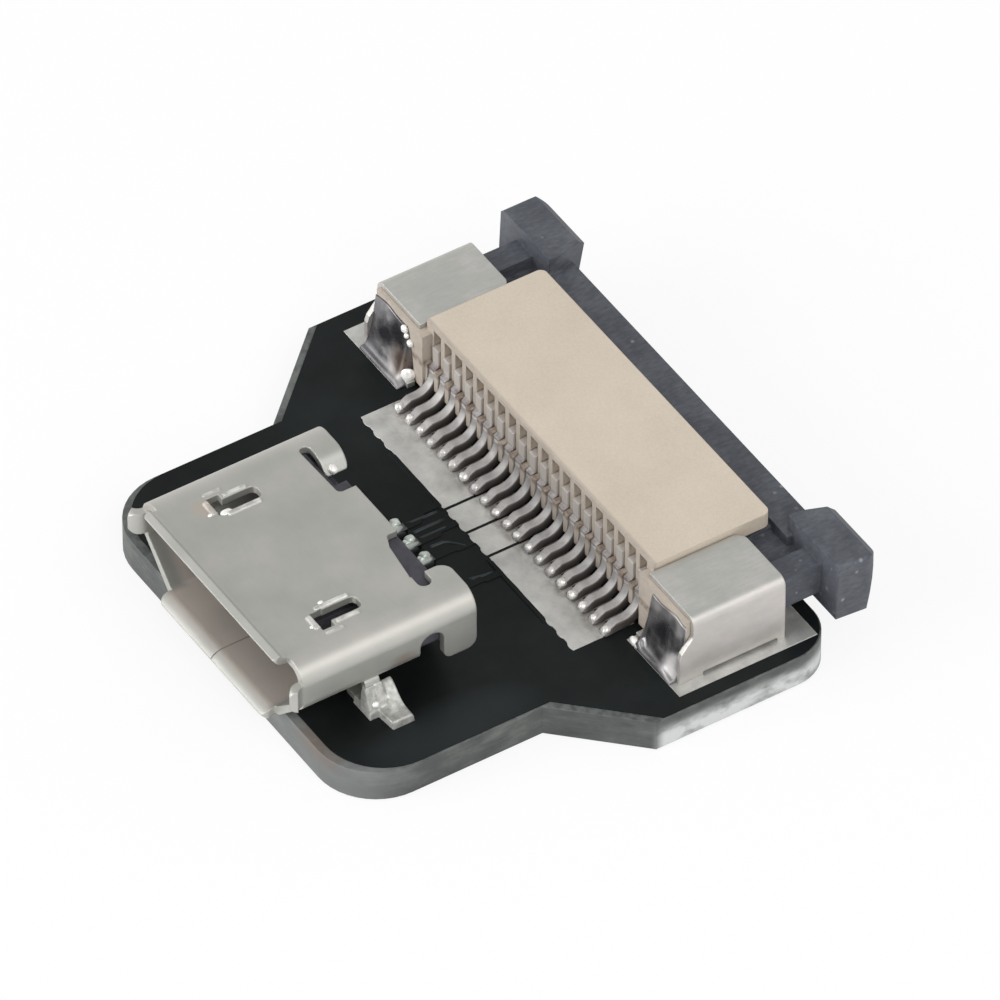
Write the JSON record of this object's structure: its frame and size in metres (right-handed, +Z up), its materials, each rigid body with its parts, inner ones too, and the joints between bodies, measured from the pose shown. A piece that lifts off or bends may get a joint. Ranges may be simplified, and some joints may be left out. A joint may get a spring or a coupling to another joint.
{
  "type": "micro usb socket adapter board",
  "caption": "Small black circuit board with a metal micro USB-B receptacle at the front edge and a flat cable connector with a sliding lock across the rear.",
  "frame": {"origin": "on the underside of the board, below the middle of the row of leads along the length of the board's X extent and half way between its front and rear edges", "axes": "+X along the row of leads, to the right seen from the USB mouth; +Y from the USB mouth to the side where the flat cable enters; +Z up through the board"},
  "size_m": [0.0167, 0.0149, 0.0036],
  "materials": {
    "laminate": "sawn grey-green glass laminate, fine layers along the edge",
    "solder_mask": "black lacquer, satin, slightly uneven over the traces",
    "tinned_copper": "tinned copper foil, slightly wavy",
    "shell_nickel": "satin nickel plate on stamped sheet, fine rolling lines",
    "black_moulding": "black moulded plastic, matte",
    "contact_plate": "plated strip, tinned towards the tail",
    "beige_moulding": "beige high-temperature plastic, fine even grain",
    "slate_moulding": "dark slate-grey plastic with short glass fibres that show as specks",
    "tab_tin": "matte tin plate with a bright scuffed bend",
    "solder": "solder, bright and smooth",
    "lead_tin": "bright tin plate"
  },
  "bodies": {
    "socket_board": {"board": "laminate", "mask_top": "solder_mask", "mask_bottom": "solder_mask", "net_left_rail": "tinned_copper", "net_left_pair": "tinned_copper", "net_right_pair": "tinned_copper", "net_right_rail": "tinned_copper", "pad_fourth": "tinned_copper", "anchor_pad_left": "tinned_copper", "anchor_pad_right": "tinned_copper", "lug_pad_left": "tinned_copper", "lug_pad_right": "tinned_copper", "usb_shell": "shell_nickel", "usb_insulator": "black_moulding", "usb_contact_1": "contact_plate", "usb_contact_2": "contact_plate", "usb_contact_3": "contact_plate", "usb_contact_4": "contact_plate", "usb_contact_5": "contact_plate", "ffc_housing": "beige_moulding", "tab_left": "tab_tin", "tab_right": "tab_tin", "tab_solder_left": "solder", "tab_solder_right": "solder", "lead_01": "lead_tin", "lead_02": "lead_tin", "lead_03": "lead_tin", "lead_04": "lead_tin", "lead_05": "lead_tin", "lead_06": "lead_tin", "lead_07": "lead_tin", "lead_08": "lead_tin", "lead_09": "lead_tin", "lead_10": "lead_tin", "lead_11": "lead_tin", "lead_12": "lead_tin", "lead_13": "lead_tin", "lead_14": "lead_tin", "lead_15": "lead_tin", "lead_16": "lead_tin", "lead_17": "lead_tin", "lead_18": "lead_tin", "lead_19": "lead_tin", "lead_20": "lead_tin"},
    "slider": {"ffc_slider": "slate_moulding"}
  },
  "joints": [
    {"name": "slider_push", "type": "slide", "parent": "socket_board", "child": "slider", "axis": [0, 1, 0], "range_m": [-0.001, 0]}
  ]
}
